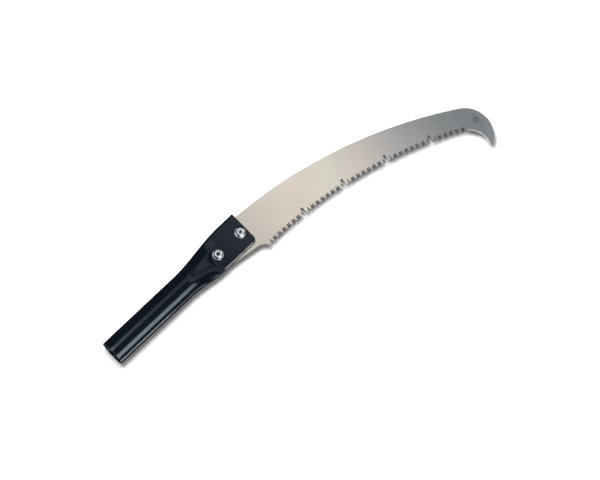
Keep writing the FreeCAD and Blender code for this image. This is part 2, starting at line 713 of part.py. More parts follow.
def make_lock_nut(name, end, base):
    """A hexagon nut with a round collar, which is hollow for the nylon ring that grips the thread."""
    body = new_body(name)
    corner = "Sizes.hex_flats / sqrt(3)"
    turned(body, name + "_turned", [
        ("Sizes.nut_bore + Sizes.edge_break", "0"),
        ("Sizes.hex_flats / 2", "0"),
        (corner, "Sizes.hex_chamfer"),
        (corner, "Sizes.nut_hex_height - Sizes.hex_chamfer"),
        ("Sizes.collar_radius", "Sizes.nut_hex_height"),
        ("Sizes.collar_radius", "Sizes.nut_height - Sizes.hex_chamfer"),
        ("Sizes.collar_radius - Sizes.hex_chamfer", "Sizes.nut_height"),
        ("Sizes.lip_radius", "Sizes.nut_height"),
        ("Sizes.lip_radius", "Sizes.ring_base + Sizes.ring_height"),
        ("Sizes.ring_radius", "Sizes.ring_base + Sizes.ring_height"),
        ("Sizes.ring_radius", "Sizes.ring_base"),
        ("Sizes.nut_bore", "Sizes.ring_base"),
        ("Sizes.nut_bore", "Sizes.edge_break"),
    ])
    hexagon_sides(body, name + "_flats", "0", "Sizes.nut_hex_height")
    place(body, end, base)
    return body


def make_nylon_ring(name, end, base):
    """The nylon ring inside a lock nut's collar."""
    body = new_body(name)
    turned(body, name + "_turned", [
        ("Sizes.bolt_radius", "Sizes.ring_base"),
        ("Sizes.ring_radius", "Sizes.ring_base"),
        ("Sizes.ring_radius", "Sizes.ring_base + Sizes.ring_height"),
        ("Sizes.bolt_radius", "Sizes.ring_base + Sizes.ring_height"),
    ])
    place(body, end, base)
    return body


def make_fasteners():
    jaw_face = "Sizes.jaw_gap / 2 + Sizes.wall"
    nut_seat = jaw_face + " + Sizes.washer_thick"
    parts = []
    for end in ("front", "rear"):
        parts += [
            make_bolt(end + "_bolt", end, "-(%s)" % nut_seat),
            make_washer(end + "_head_washer", end, "-(%s)" % nut_seat),
            make_washer(end + "_nut_washer", end, jaw_face),
            make_lock_nut(end + "_lock_nut", end, nut_seat),
            make_nylon_ring(end + "_nylon_ring", end, nut_seat),
        ]
    return parts


# ---------------------------------------------------------------- build, test and write

pieces = [make_socket(), make_blade()] + make_fasteners()
doc.recompute()
for item in doc.Objects:
    if "Invalid" in item.State or "Error" in item.State:
        raise RuntimeError("%s is in error" % item.Name)
os.makedirs("parts", exist_ok=True)
for piece in pieces:
    if piece.Shape.isNull() or not piece.Shape.isValid() or len(piece.Shape.Solids) != 1:
        raise RuntimeError("%s isn't one valid solid" % piece.Label)
    piece.Shape.exportStep(os.path.join("parts", piece.Label + ".step"))
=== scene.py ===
"""Looks of a pole saw head: a pressed tube socket, a hooked saw blade and its two bolt sets."""

import logging
import math
from dataclasses import dataclass
from enum import Enum
from typing import Callable, Dict, Iterable, List, Optional, Sequence, Tuple

import bmesh
import bpy
from mathutils import Matrix, Vector


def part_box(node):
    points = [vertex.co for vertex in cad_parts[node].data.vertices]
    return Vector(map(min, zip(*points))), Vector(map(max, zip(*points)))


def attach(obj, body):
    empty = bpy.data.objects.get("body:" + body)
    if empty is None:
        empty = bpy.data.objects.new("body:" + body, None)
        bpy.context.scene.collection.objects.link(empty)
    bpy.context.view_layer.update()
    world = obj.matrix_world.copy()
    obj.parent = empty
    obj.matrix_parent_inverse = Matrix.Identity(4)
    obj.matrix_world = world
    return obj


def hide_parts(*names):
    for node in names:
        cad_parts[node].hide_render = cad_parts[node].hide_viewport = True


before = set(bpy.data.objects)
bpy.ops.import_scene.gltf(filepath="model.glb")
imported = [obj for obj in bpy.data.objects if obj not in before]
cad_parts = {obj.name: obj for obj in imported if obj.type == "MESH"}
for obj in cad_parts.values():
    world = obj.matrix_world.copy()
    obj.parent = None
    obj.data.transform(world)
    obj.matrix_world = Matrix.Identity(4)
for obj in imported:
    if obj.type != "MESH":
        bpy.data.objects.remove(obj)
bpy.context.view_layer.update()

MM = 0.001
WELD = 0.002            # how close two points are merged, in millimetres
HOLE_STEPS = 48         # the number of sides of a drilled hole
CORNER_SHARE = 0.45     # how far a rounded corner may reach along a side
BODY = "root"
Point = Tuple[float, float, float]
Colour = Tuple[float, float, float]

log = logging.getLogger("pole_saw_head")


class Slot(Enum):
    """The names of the record's material slots."""

    BLACK_PAINT = "black_paint"
    ZINC_PLATE = "zinc_plate"
    NYLON = "nylon"


class BoltPlace(Enum):
    """The two bolts that hold the blade."""

    FRONT = "front"
    REAR = "rear"


class Fastener(Enum):
    """The pieces of one bolt set, from the head to the nut."""

    BOLT = "bolt"
    HEAD_WASHER = "head_washer"
    NUT_WASHER = "nut_washer"
    LOCK_NUT = "lock_nut"
    NYLON_RING = "nylon_ring"


# ---------------------------------------------------------------- meshes

def add_object(name: str, mesh: bpy.types.Mesh) -> bpy.types.Object:
    """Put a mesh into the scene.

    Args:
        name: The new object's name.
        mesh: Its mesh, in metres in the shared frame.

    Returns:
        The new object.
    """
    piece = bpy.data.objects.new(name, mesh)
    bpy.context.scene.collection.objects.link(piece)
    return piece


def mesh_from(name: str, points: Sequence[Point], faces: Sequence[Sequence[int]]) -> bpy.types.Mesh:
    """Make a mesh with outward normals.

    Args:
        name: The mesh's name.
        points: Its vertices, in millimetres.
        faces: Vertex indices of each face.

    Returns:
        The mesh, in metres.
    """
    mesh = bpy.data.meshes.new(name)
    mesh.from_pydata([(x * MM, y * MM, z * MM) for x, y, z in points], [], [tuple(f) for f in faces])
    sheet = bmesh.new()
    sheet.from_mesh(mesh)
    bmesh.ops.remove_doubles(sheet, verts=sheet.verts, dist=WELD * MM)
    bmesh.ops.dissolve_degenerate(sheet, edges=sheet.edges, dist=WELD * MM)
    bmesh.ops.recalc_face_normals(sheet, faces=sheet.faces)
    sheet.to_mesh(mesh)
    sheet.free()
    return mesh


def shade(piece: bpy.types.Object, sharp_degrees: float) -> None:
    """Shade a piece smooth, with edges sharper than an angle left crisp.

    Args:
        piece: The object to shade.
        sharp_degrees: The angle between faces from which an edge is crisp.
    """
    mesh = piece.data
    mesh.polygons.foreach_set("use_smooth", [True] * len(mesh.polygons))
    mesh.set_sharp_from_angle(angle=math.radians(sharp_degrees))
    mesh.update()


def apply_modifiers(piece: bpy.types.Object) -> None:
    """Replace a piece's mesh with the result of its modifiers.

    Args:
        piece: The object whose mesh changes.
    """
    graph = bpy.context.evaluated_depsgraph_get()
    result = bpy.data.meshes.new_from_object(piece.evaluated_get(graph))
    piece.modifiers.clear()
    piece.data = result


def round_edges(piece: bpy.types.Object, width: float, segments: int, angle_degrees: float) -> None:
    """Round the sharp edges of a piece.

    Args:
        piece: The object whose mesh changes.
        width: The rounding's width, in millimetres.
        segments: The number of strips across the rounding.
        angle_degrees: The angle between faces from which an edge is rounded.
    """
    bevel = piece.modifiers.new("rounding", "BEVEL")
    bevel.width = width * MM
    bevel.segments = segments
    bevel.limit_method = "ANGLE"
    bevel.angle_limit = math.radians(angle_degrees)
    bevel.miter_outer = "MITER_ARC"
    apply_modifiers(piece)


def subtract(piece: bpy.types.Object, cutter: bpy.types.Object) -> None:
    """Cut one closed solid out of a piece, and throw the cutter away.

    Args:
        piece: The object whose mesh changes.
        cutter: The solid to cut out.
    """
    cut = piece.modifiers.new("cut", "BOOLEAN")
    cut.operation = "DIFFERENCE"
    cut.solver = "EXACT"
    cut.object = cutter
    apply_modifiers(piece)
    bpy.data.objects.remove(cutter)


def drill(piece: bpy.types.Object, x: float, y: float, radius: float, half_height: float) -> None:
    """Cut an upright round hole through a piece.

    Args:
        piece: The object whose mesh changes.
        x: The hole's place along the tube, in millimetres.
        y: The hole's place across the tube, in millimetres.
        radius: The hole's radius, in millimetres.
        half_height: Half the height of the cut, in millimetres.
    """
    rim = [(x + radius * math.cos(turn), y + radius * math.sin(turn))
           for turn in (math.tau * step / HOLE_STEPS for step in range(HOLE_STEPS))]
    points = [(px, py, z) for z in (-half_height, half_height) for px, py in rim]
    sides = [(step, (step + 1) % HOLE_STEPS, HOLE_STEPS + (step + 1) % HOLE_STEPS, HOLE_STEPS + step)
             for step in range(HOLE_STEPS)]
    ends = [tuple(range(HOLE_STEPS)), tuple(range(HOLE_STEPS, 2 * HOLE_STEPS))]
    cutter = add_object("drill_bit", mesh_from("drill_bit", points, sides + ends))
    subtract(piece, cutter)


def turned_mesh(
    name: str,
    profile: Sequence[Tuple[float, float]],
    x: float,
    y: float,
    steps: int,
    limit: Optional[Callable[[float, float], float]] = None,
) -> bpy.types.Mesh:
    """Turn a closed profile about an upright axis.

    Args:
        name: The mesh's name.
        profile: Pairs of radius and height in millimetres, round the section.
        x: The axis's place along the tube, in millimetres.
        y: The axis's place across the tube, in millimetres.
        steps: The number of steps round the axis.
        limit: Gives the largest radius at an angle and height, such as a hexagon's side.

    Returns:
        The mesh, in metres.
    """
    points: List[Point] = []
    for step in range(steps):
        turn = math.tau * step / steps
        for radius, height in profile:
            reach = radius if limit is None else min(radius, limit(turn, height))
            points.append((x + reach * math.cos(turn), y + reach * math.sin(turn), height))
    count = len(profile)
    faces = []
    for step in range(steps):
        here, there = step * count, (step + 1) % steps * count
        for row in range(count):
            after = (row + 1) % count
            faces.append((here + row, there + row, there + after, here + after))
    return mesh_from(name, points, faces)


def rounded_corner(
    before: Tuple[float, float], corner: Tuple[float, float], after: Tuple[float, float], radius: float
) -> List[Tuple[float, float]]:
    """Replace a profile's corner with a short curve.

    Args:
        before: The profile's point before the corner.
        corner: The corner itself.
        after: The profile's point after the corner.
        radius: How far the curve reaches from the corner, in millimetres.

    Returns:
        The curve's points.
    """
    middle, ends = Vector(corner), []
    for other in (before, after):
        way = Vector(other) - middle
        ends.append(middle + way.normalized() * min(radius, way.length * CORNER_SHARE))
    curve = []
    for part in (0.0, 0.25, 0.5, 0.75, 1.0):
        bend = ends[0] * (1 - part) ** 2 + middle * (2 * part * (1 - part)) + ends[1] * part ** 2
        curve.append((bend.x, bend.y))
    return curve


def rounded_profile(corners: Sequence[Tuple[float, float]], radius: float) -> List[Tuple[float, float]]:
    """Round every corner of a closed profile that doesn't lie on the axis.

    Args:
        corners: Pairs of radius and height in millimetres.
        radius: How far each curve reaches from its corner, in millimetres.

    Returns:
        The rounded profile.
    """
    profile: List[Tuple[float, float]] = []
    for index, corner in enumerate(corners):
        before, after = corners[index - 1], corners[(index + 1) % len(corners)]
        if corner[0] == 0.0:
            profile.append(corner)
        else:
            profile += rounded_corner(before, corner, after, radius)
    return profile


def smooth_step(start: float, end: float, value: float) -> float:
    """Rise smoothly from 0 at the start to 1 at the end."""
    part = min(1.0, max(0.0, (value - start) / (end - start)))
    return part * part * (3 - 2 * part)


def soft_minimum(first: float, second: float, softness: float) -> float:
    """The smaller of two numbers, with the change from one to the other rounded off.

    Args:
        first: One number.
        second: The other number.
        softness: How near the two are where the rounding starts.

    Returns:
        The smaller number, or slightly less where the two are near each other.
    """
    if softness <= 0.0:
        return min(first, second)
    near = max(0.0, softness - abs(first - second)) / softness
    return min(first, second) - near * near * softness / 4


# ---------------------------------------------------------------- finishes

class Graph:
    """A material's nodes, with its main shader ready to dress."""

    def __init__(self, name: str) -> None:
        """Start a material with an empty graph.

        Args:
            name: The material's name.
        """
        self.material = bpy.data.materials.new(name)
        self.material.use_nodes = True
        self.tree = self.material.node_tree
        self.tree.nodes.clear()
        self.shader = self.tree.nodes.new("ShaderNodeBsdfPrincipled")
        output = self.tree.nodes.new("ShaderNodeOutputMaterial")
        self.tree.links.new(self.shader.outputs["BSDF"], output.inputs["Surface"])
        self.place = self.add("TexCoord").outputs["Object"]

    def add(self, kind: str, inputs: Optional[Dict[object, object]] = None,
            **settings: object) -> bpy.types.Node:
        """Add a node.

        Args:
            kind: The node's type, without its common beginning.
            inputs: What each input is: a socket to link, or a plain value.
            **settings: The node's own settings.

        Returns:
            The node.
        """
        node = self.tree.nodes.new("ShaderNode" + kind)
        for key, value in settings.items():
            setattr(node, key, value)
        for key, value in (inputs or {}).items():
            self.feed(node.inputs[key], value)
        return node

    def feed(self, socket: bpy.types.NodeSocket, value: object) -> None:
        """Link a socket to another one, or give it a plain value.

        Args:
            socket: The input.
            value: The output that feeds it, or its value.
        """
        if isinstance(value, bpy.types.NodeSocket):
            self.tree.links.new(value, socket)
        else:
            socket.default_value = value

    def math(self, operation: str, first: object, second: object = 0.0,
             clamp: bool = False) -> bpy.types.NodeSocket:
        """Work out one number from two."""
        node = self.add("Math", {0: first, 1: second}, operation=operation, use_clamp=clamp)
        return node.outputs[0]

    def noise(self, scale: float, detail: float, vector: Optional[bpy.types.NodeSocket] = None,
              roughness: float = 0.55) -> bpy.types.NodeSocket:
        """Make cloudy noise.

        Args:
            scale: The cycles for each metre.
            detail: How many finer layers it has.
            vector: The place that it reads, or None for the object's own place.
            roughness: How strong the finer layers are.

        Returns:
            The noise, from 0 to 1.
        """
        where = self.place if vector is None else vector
        inputs = {"Vector": where, "Scale": scale, "Detail": detail, "Roughness": roughness}
        return self.add("TexNoise", inputs).outputs["Fac"]

    def spread(self, value: object, low: float, high: float, start: float = 0.0, end: float = 1.0,
               smooth: bool = False) -> bpy.types.NodeSocket:
        """Map a number from one range onto another, and hold it there.

        Args:
            value: The number.
            low: Where the first range begins.
            high: Where the first range ends.
            start: What low becomes.
            end: What high becomes.
            smooth: Whether the change eases in and out.

        Returns:
            The mapped number.
        """
        node = self.add("MapRange", {"Value": value, "From Min": low, "From Max": high, "To Min": start,
                                     "To Max": end}, clamp=True)
        if smooth:
            node.interpolation_type = "SMOOTHSTEP"
        return node.outputs["Result"]

    def stretched(self, x: float, y: float, z: float, vector: Optional[bpy.types.NodeSocket] = None
                  ) -> bpy.types.NodeSocket:
        """Scale the place that a texture reads, to draw its grain out."""
        where = self.place if vector is None else vector
        return self.add("Mapping", {"Vector": where, "Scale": (x, y, z)}).outputs["Vector"]

    def mix(self, share: object, first: object, second: object) -> bpy.types.NodeSocket:
        """Mix two colours.

        Args:
            share: The second colour's share, from 0 to 1.
            first: A colour or a socket.
            second: A colour or a socket.

        Returns:
            The mixed colour.
        """
        node = self.add("Mix", data_type="RGBA")
        self.feed(node.inputs[0], share)
        for index, value in ((6, first), (7, second)):
            colour = value if isinstance(value, bpy.types.NodeSocket) else (*value, 1.0)
            self.feed(node.inputs[index], colour)
        return node.outputs[2]

    def bump(self, height: object, strength: float, distance: float,
             below: Optional[bpy.types.NodeSocket] = None) -> bpy.types.NodeSocket:
        """Roughen the surface.

        Args:
            height: The surface's height, from 0 to 1.
            strength: How strong the bump is.
            distance: What a height of 1 stands for, in metres.
            below: Another bump that this one lies on.

        Returns:
            The bumped normal.
        """
        inputs = {"Height": height, "Strength": strength, "Distance": distance}
        if below is not None:
            inputs["Normal"] = below
        return self.add("Bump", inputs).outputs["Normal"]

    def multiply(self, first: object, second: object) -> bpy.types.NodeSocket:
        """Multiply two numbers."""
        return self.math("MULTIPLY", first, second)

    def length(self, x: object, y: object) -> bpy.types.NodeSocket:
        """The length of a flat vector."""
        return self.math("SQRT", self.math("ADD", self.multiply(x, x), self.multiply(y, y)))

    def separate(self) -> Tuple[bpy.types.NodeSocket, bpy.types.NodeSocket, bpy.types.NodeSocket]:
        """The object's own place, as three numbers in metres."""
        return tuple(self.add("SeparateXYZ", {"Vector": self.place}).outputs)

    def distance_from(self, at_x: float, at_y: float) -> bpy.types.NodeSocket:
        """How far a place is from an upright axis.

        Args:
            at_x: The axis's place along the tube, in millimetres.
            at_y: The axis's place across the tube, in millimetres.

        Returns:
            The distance, in metres.
        """
        x, y, _ = self.separate()
        return self.length(self.math("SUBTRACT", x, at_x * MM), self.math("SUBTRACT", y, at_y * MM))

    def crevices(self, reach: float) -> bpy.types.NodeSocket:
        """Find crevices: 0 on open ground, rising to 1 where walls within a reach in metres close in."""
        open_sky = self.add("AmbientOcclusion", {"Distance": reach}, samples=8).outputs["AO"]
        return self.spread(open_sky, 0.85, 0.25)

    def dress(self, **sockets: object) -> bpy.types.Material:
        """Set the main shader's sockets.

        Args:
            **sockets: What each socket is, with its name's spaces written as underscores.

        Returns:
            The finished material.
        """
        for name, value in sockets.items():
            socket = self.shader.inputs[name.replace("_", " ")]
            if isinstance(value, tuple) and len(value) == 3:
                value = (*value, 1.0)
            self.feed(socket, value)
        return self.material


@dataclass(frozen=True)
class BlackEnamel:
    """Gloss black enamel over steel, a little blue, with a faint skin texture, rubbed edges and a painted
    highlight line inside the jaw's open front edge.
    """

    jaw_end: float
    front: float
    corner: float
    slit_start: float
    deep: Colour = (0.0010, 0.0018, 0.0040)
    pale: Colour = (0.0020, 0.0034, 0.0070)
    sheen: Colour = (0.80, 0.90, 1.0)
    bare_metal_and_highlight: Colour = (0.50, 0.50, 0.49)
    scuffed: Colour = (0.006, 0.007, 0.009)
    gloss: float = 0.16
    dull: float = 0.24
    rim_width: float = 0.8
    rim_blur: float = 0.5
    line_inside: float = 3.2
    inside_blur: float = 0.4
    line_outside: float = 1.3
    outside_blur: float = 0.5
    line_delay: float = 8.0
    line_fade: float = 5.0
    mouth_width: float = 0.6

    def wear_and_painted_highlight(self, graph: Graph) -> bpy.types.NodeSocket:
        """Find the rubbed places, the mouth and the jaw's end, and a line inside the jaw's open front edge
        that is partly rubbed paint and partly a painted highlight.

        Args:
            graph: The material's graph.

        Returns:
            How much rubbed paint and painted highlight the place gets, from 0 to 1.
        """
        x, y, _ = graph.separate()
        corner_x, corner_y = self.jaw_end - self.corner, self.front + self.corner
        end_gap = graph.math("MAXIMUM", graph.math("SUBTRACT", x, corner_x * MM), 0.0)
        front_gap = graph.math("MAXIMUM", graph.math("SUBTRACT", corner_y * MM, y), 0.0)
        rim = graph.spread(graph.length(end_gap, front_gap), (self.corner - self.rim_width) * MM,
                           (self.corner - self.rim_width + self.rim_blur) * MM, 0.0, 0.12)

        # The line along the front edge is partly rubbed paint and partly a painted highlight of the rounded
        # edge.
        inner, outer = self.corner - self.line_inside, self.corner - self.line_outside
        inside = graph.spread(front_gap, inner * MM, (inner + self.inside_blur) * MM)
        outside = graph.spread(front_gap, (outer - self.outside_blur) * MM, outer * MM, 1.0, 0.05)
        before_corner = graph.spread(x, corner_x * MM, (self.jaw_end - self.line_fade) * MM, 1.0, 0.0)
        line = graph.multiply(graph.multiply(inside, outside), before_corner)

        line_start = self.slit_start + self.line_delay
        on_jaw = graph.spread(x, line_start * MM, (line_start + self.line_fade) * MM)
        mouth = graph.spread(x, self.mouth_width / 3 * MM, self.mouth_width * MM, 0.12, 0.0)
        ragged = graph.spread(graph.noise(330.0, 6.0), 0.30, 0.52)
        jaw = graph.multiply(graph.math("MAXIMUM", rim, line), on_jaw)
        return graph.multiply(graph.math("MAXIMUM", jaw, mouth), ragged)

    def material(self) -> bpy.types.Material:
        """Make the enamel's material.

        Returns:
            The material.
        """
        graph = Graph("black_enamel")
        cloud = graph.noise(38.0, 4.0)
        dust = graph.noise(260.0, 8.0)
        skin = graph.noise(700.0, 2.0)
        rubbed = graph.noise(1.0, 6.0, graph.stretched(22.0, 620.0, 620.0))
        scuff = graph.spread(rubbed, 0.62, 0.74)
        wear_and_highlight = self.wear_and_painted_highlight(graph)
        colour = graph.mix(cloud, self.deep, self.pale)
        colour = graph.mix(graph.multiply(scuff, 0.25), colour, self.scuffed)
        # Rubbed places and the painted highlight line turn light grey and metallic.
        colour = graph.mix(wear_and_highlight, colour, self.bare_metal_and_highlight)
        rough = graph.spread(dust, 0.3, 0.7, self.gloss, self.dull)
        rough = graph.math("ADD", rough, graph.multiply(scuff, 0.10))
        rough = graph.math("ADD", rough, graph.multiply(wear_and_highlight, 0.20), clamp=True)
        normal = graph.bump(skin, 0.35, 0.02 * MM)
        normal = graph.bump(rubbed, 0.12, 0.01 * MM, normal)
        return graph.dress(Base_Color=colour, Roughness=rough, Metallic=wear_and_highlight, Normal=normal, IOR=1.42,
                           Specular_Tint=self.sheen)


@dataclass(frozen=True)
class GroundSteel:
    """Satin ground and plated blade steel, warm near the socket and greyer towards the hook, with a lighter
    band along the hook's outer edge that is partly a ground band and partly a painted reflection, and
    painted shade round the hanging hole.
    """

    centre_x: float = 221.7
    centre_y: float = -720.0
    back_radius: float = 742.6
    curve_length: float = 440.0
    hook_x: float = 588.1
    hook_y: float = -117.0
    hook_radius: float = 41.0
    land_sheen: float = 7.0
    land_blur: float = 1.5
    land_fade: float = 12.0
    hole_x: float = 615.0
    hole_y: float = -114.8
    hole_radius: float = 3.3
    dust: Colour = (0.60, 0.57, 0.52)
    bright: Colour = (0.86, 0.86, 0.86)
    scratch: Colour = (0.86, 0.85, 0.83)
    edge: Colour = (0.80, 0.80, 0.79)
    speck: Colour = (0.42, 0.40, 0.37)
    hole_rim_shade: Colour = (0.10, 0.10, 0.105)

    def polar(self, graph: Graph) -> Tuple[bpy.types.NodeSocket, bpy.types.NodeSocket, bpy.types.NodeSocket]:
        """Work out where a point lies along and across the blade's curve.

        Args:
            graph: The material's graph.

        Returns:
            The length along the curve and the distance inside its back edge, in metres, and the height.
        """
        x, y, height = graph.separate()
        x = graph.math("SUBTRACT", x, self.centre_x * MM)
        y = graph.math("SUBTRACT", y, self.centre_y * MM)
        along = graph.multiply(graph.math("ARCTAN2", x, y), self.back_radius * MM)
        inside = graph.math("SUBTRACT", self.back_radius * MM, graph.length(x, y))
        return along, inside, height

    def tint(self, graph: Graph, along: bpy.types.NodeSocket) -> bpy.types.NodeSocket:
        """Shift the steel's colour and lightness along the blade, in bands.

        Args:
            graph: The material's graph.
            along: The length along the blade, in metres.

        Returns:
            The colour.
        """
        wander = graph.multiply(graph.math("SUBTRACT", graph.noise(14.0, 2.0), 0.5), 0.05)
        share = graph.spread(graph.math("ADD", along, wander), 0.0, self.curve_length * MM)
        ramp = graph.add("ValToRGB", {"Fac": share})
        bands = ((0.00, (0.66, 0.63, 0.55)), (0.12, (0.70, 0.65, 0.57)), (0.28, (0.80, 0.70, 0.62)),
                 (0.42, (0.80, 0.77, 0.67)), (0.56, (0.79, 0.72, 0.66)), (0.70, (0.68, 0.66, 0.66)),
                 (0.86, (0.60, 0.62, 0.61)), (1.00, (0.64, 0.65, 0.65)))
        elements = ramp.color_ramp.elements
        while len(elements) < len(bands):
            elements.new(0.5)
        for element, (place, colour) in zip(elements, bands):
            element.position = place
            element.color = (*colour, 1.0)
        return ramp.outputs["Color"]

    def material(self) -> bpy.types.Material:
        """Make the blade's material.

        Returns:
            The material.
        """
        graph = Graph("ground_steel")
        along, inside, height = self.polar(graph)
        curve = graph.add("CombineXYZ", {"X": along, "Y": inside, "Z": height}).outputs["Vector"]
        grain = graph.noise(1.0, 5.0, graph.stretched(90.0, 3200.0, 900.0, curve), 0.7)
        cloud = graph.noise(30.0, 4.0)
        specks = graph.spread(graph.noise(900.0, 3.0), 0.70, 0.78)

        facing = graph.add("NewGeometry").outputs["True Normal"]
        normal_z = graph.add("SeparateXYZ", {"Vector": facing}).outputs["Z"]
        upright = graph.spread(graph.math("ABSOLUTE", normal_z), 0.93, 0.985, 1.0, 0.0)
        # A lighter band along the hook's outer edge: partly a ground band, partly a painted reflection.
        land_start = self.hook_radius - self.land_sheen
        rim = graph.spread(graph.distance_from(self.hook_x, self.hook_y), land_start * MM,
                           (land_start + self.land_blur) * MM, smooth=True)
        beyond = graph.spread(graph.separate()[0], self.hook_x * MM, (self.hook_x + self.land_fade) * MM)
        land_sheen = graph.multiply(rim, beyond)
        # Painted shade: a dark ring round the hanging hole.
        hole_rim_shade = graph.spread(graph.distance_from(self.hole_x, self.hole_y), (self.hole_radius + 0.5) * MM,
                            (self.hole_radius + 1.2) * MM, 0.9, 0.0)

        colour = self.tint(graph, along)
        for share, tone in ((graph.multiply(cloud, 0.10), self.dust),
                            (graph.multiply(grain, 0.10), self.scratch),
                            (graph.multiply(land_sheen, 0.45), self.bright),
                            (graph.multiply(upright, 0.6), self.edge),
                            (graph.multiply(specks, 0.35), self.speck), (hole_rim_shade, self.hole_rim_shade)):
            colour = graph.mix(share, colour, tone)
        rough = graph.spread(grain, 0.3, 0.7, 0.25, 0.32)
        rough = graph.math("ADD", rough, graph.multiply(cloud, 0.05))
        rough = graph.math("ADD", rough, graph.multiply(specks, 0.10))
        normal = graph.bump(grain, 0.20, 0.008 * MM)
        return graph.dress(Base_Color=colour, Roughness=rough, Normal=normal, Metallic=1.0)


@dataclass(frozen=True)
class ZincPlate:
    """Bright zinc plate with a faint blue and straw tint, with painted shade in its crevices and in the
    centres of the bolts' tips.
    """

    blue: Colour = (0.72, 0.77, 0.83)
    straw: Colour = (0.80, 0.79, 0.74)
    painted_shade: Colour = (0.055, 0.05, 0.045)
    handled: Colour = (0.55, 0.56, 0.58)
    recess: float = 1.9
    recess_blur: float = 0.3
    crevice: float = 2.4

    def tip_shade(self, graph: Graph, axes: Sequence[Tuple[float, float]]) -> bpy.types.NodeSocket:
        """Find the centre of each bolt's tip, where the dimple gets painted shade.

        Args:
            graph: The material's graph.
            axes: Places of the bolts' axes, in millimetres.

        Returns:
            1 in the centre of a tip and 0 elsewhere.
        """
        above = graph.spread(graph.separate()[2], 0.0, 1.0 * MM)
        distances = [graph.distance_from(x, y) for x, y in axes]
        nearest = distances[0]
        for distance in distances[1:]:
            nearest = graph.math("MINIMUM", nearest, distance)
        centre = graph.spread(nearest, (self.recess - self.recess_blur) * MM,
                              (self.recess + self.recess_blur) * MM, 1.0, 0.0)
        return graph.multiply(above, centre)

    def material(self, axes: Sequence[Tuple[float, float]]) -> bpy.types.Material:
        """Make the zinc's material.

        Args:
            axes: Places of the bolts' axes, in millimetres.

        Returns:
            The material.
        """
        graph = Graph("zinc_plate")
        cloud = graph.noise(240.0, 4.0)
        frost = graph.noise(1500.0, 6.0)
        handled = graph.spread(graph.noise(520.0, 4.0), 0.58, 0.72)
        colour = graph.mix(graph.spread(cloud, 0.35, 0.65), self.blue, self.straw)
        colour = graph.mix(graph.multiply(handled, 0.35), colour, self.handled)
        # Painted shade: crevices darken towards near black.
        crevice_shade = graph.crevices(self.crevice * MM)
        colour = graph.mix(graph.multiply(crevice_shade, 0.85), colour, self.painted_shade)
        # Painted shade in the dimple at the centre of each bolt's tip.
        colour = graph.mix(self.tip_shade(graph, axes), colour, self.painted_shade)
        rough = graph.spread(frost, 0.3, 0.7, 0.16, 0.30)
        rough = graph.math("ADD", rough, graph.multiply(handled, 0.12))
        rough = graph.math("ADD", rough, graph.multiply(crevice_shade, 0.3))
        normal = graph.bump(frost, 0.25, 0.01 * MM)
        return graph.dress(Base_Color=colour, Roughness=rough, Normal=normal, Metallic=1.0)


@dataclass(frozen=True)
class Nylon:
    """Pale, slightly cloudy nylon."""

    clear: Colour = (0.58, 0.63, 0.68)
    milky: Colour = (0.72, 0.75, 0.77)

    def material(self) -> bpy.types.Material:
        """Make the nylon's material.

        Returns:
            The material.
        """
        graph = Graph("nylon")
        cloud = graph.noise(600.0, 4.0)
        colour = graph.mix(cloud, self.clear, self.milky)
        rough = graph.spread(graph.noise(1800.0, 3.0), 0.3, 0.7, 0.38, 0.52)
        return graph.dress(Base_Color=colour, Roughness=rough, Subsurface_Weight=0.2,
                           Normal=graph.bump(cloud, 0.2, 0.02 * MM))


@dataclass(frozen=True)
class FloorPaint:
    """Matt white studio floor with an even, barely visible grain."""

    white: Colour = (0.86, 0.86, 0.86)
    shade: Colour = (0.84, 0.84, 0.84)

    def material(self) -> bpy.types.Material:
        """Make the floor's material.

        Returns:
            The material.
        """
        graph = Graph("floor_paint")
        colour = graph.mix(graph.noise(60.0, 3.0), self.shade, self.white)
        return graph.dress(Base_Color=colour, Roughness=0.9, Specular_IOR_Level=0.0)


# ---------------------------------------------------------------- pieces

def dress_piece(piece: bpy.types.Object, material: bpy.types.Material,
                nodes: Iterable[str]) -> None:
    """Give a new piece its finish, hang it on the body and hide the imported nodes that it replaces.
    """
    piece.data.materials.clear()
    piece.data.materials.append(material)
    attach(piece, BODY)
    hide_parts(*nodes)


def dress_node(node: str, material: bpy.types.Material) -> None:
    """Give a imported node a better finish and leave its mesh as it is.

    Args:
        node: The node's name.
        material: The finish.
    """
    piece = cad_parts[node]
    for holder in piece.material_slots:
        holder.material = material


def box_mm(node: str) -> Tuple[Vector, Vector]:
    """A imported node's lowest and highest corners, in millimetres."""
    low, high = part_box(node)
    return Vector(low) / MM, Vector(high) / MM


